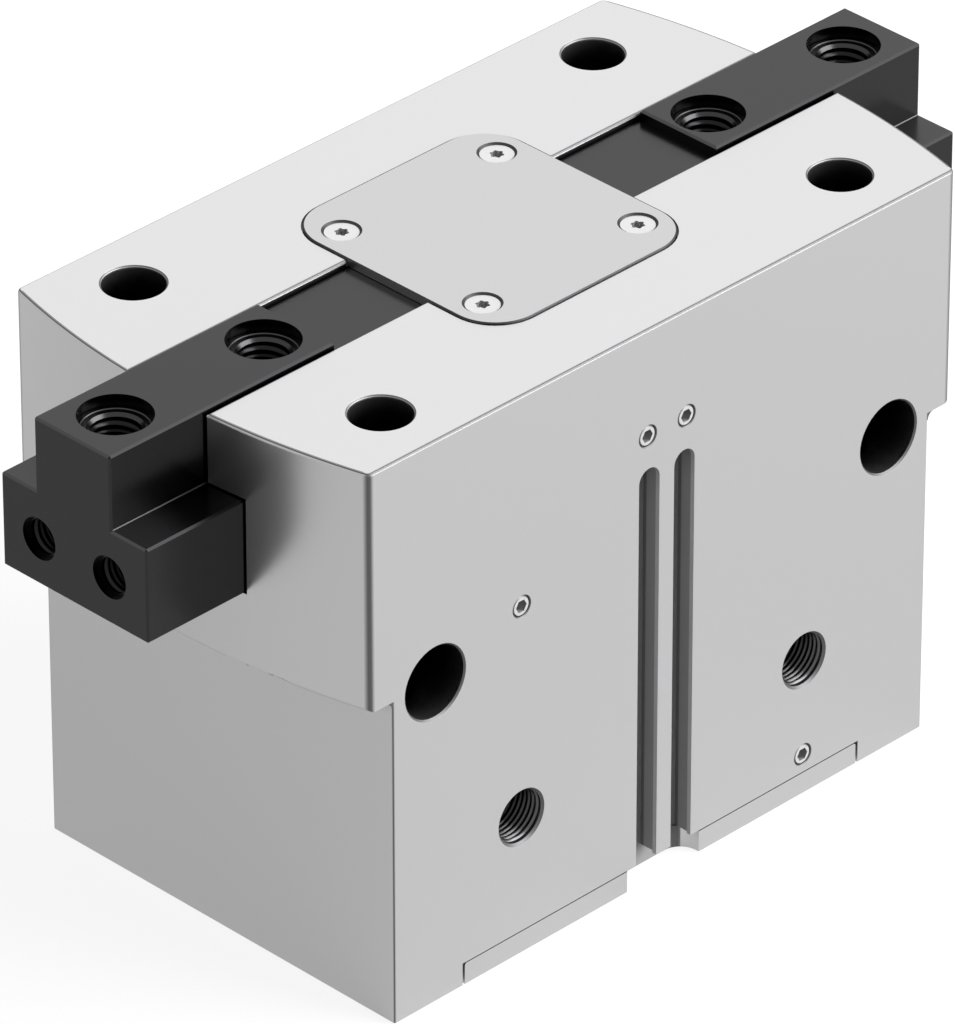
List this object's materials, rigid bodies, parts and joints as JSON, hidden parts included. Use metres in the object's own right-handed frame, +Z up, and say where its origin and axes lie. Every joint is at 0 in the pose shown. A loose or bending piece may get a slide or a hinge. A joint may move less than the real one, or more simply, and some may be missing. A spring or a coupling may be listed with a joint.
{
  "type": "parallel gripper",
  "caption": "Two-jaw pneumatic parallel gripper: aluminium block with a long guide slot, steel T-jaws driven by a piston and a 45 degree wedge.",
  "frame": {"origin": "centre of the underside of the housing", "axes": "+Z up towards the jaws, X along the jaw travel, Y across the housing; the ports and sensor grooves are on the -Y side"},
  "size_m": [0.1764, 0.0768, 0.1018],
  "materials": {
    "anodised_aluminium": "satin anodised",
    "cover_sheet": "brushed sheet",
    "hardened_steel": "hardened and blackened",
    "bright_steel": "ground",
    "screw_steel": "zinc plated",
    "piston_aluminium": "turned",
    "seal_rubber": "matt",
    "guide_plastic": "filled PTFE",
    "magnet_plastic": "plastic-bonded ferrite",
    "bush_bronze": "sintered"
  },
  "bodies": {
    "housing_body": {"housing": "anodised_aluminium", "bottom_plate": "anodised_aluminium", "bottom_plate_seal": "seal_rubber", "bottom_plate_screws": "screw_steel", "channel_ball": "bright_steel", "top_cover_plate": "cover_sheet", "top_cover_screws": "screw_steel", "grease_plug_left": "screw_steel", "grease_plug_right": "screw_steel", "purge_air_plug": "screw_steel", "lower_air_plug": "screw_steel", "rod_bush": "bush_bronze", "rod_seal": "seal_rubber", "retaining_ring": "bright_steel"},
    "piston_body": {"piston": "piston_aluminium", "piston_seal_lower": "seal_rubber", "piston_magnet": "magnet_plastic", "piston_guide_ring": "guide_plastic", "piston_seal_upper": "seal_rubber", "stop_ring_lower": "seal_rubber", "stop_ring_upper": "seal_rubber", "piston_rod": "bright_steel", "piston_nut": "bright_steel", "wedge_hook": "bright_steel", "wedge_screw": "bright_steel"},
    "left_jaw_body": {"jaw_left": "hardened_steel"},
    "right_jaw_body": {"jaw_right": "hardened_steel"}
  },
  "joints": [
    {"name": "piston_stroke", "type": "slide", "parent": "housing_body", "child": "piston_body", "axis": [0, 0, 1], "range_m": [-0.016, 0]},
    {"name": "jaw_left_slide", "type": "slide", "parent": "housing_body", "child": "left_jaw_body", "axis": [-1, 0, 0], "range_m": [-0.016, 0]},
    {"name": "jaw_right_slide", "type": "slide", "parent": "housing_body", "child": "right_jaw_body", "axis": [1, 0, 0], "range_m": [-0.016, 0]}
  ],
  "couplings": [
    {"joint": "jaw_left_slide", "follows": "piston_stroke", "ratio": 1},
    {"joint": "jaw_right_slide", "follows": "piston_stroke", "ratio": 1}
  ]
}
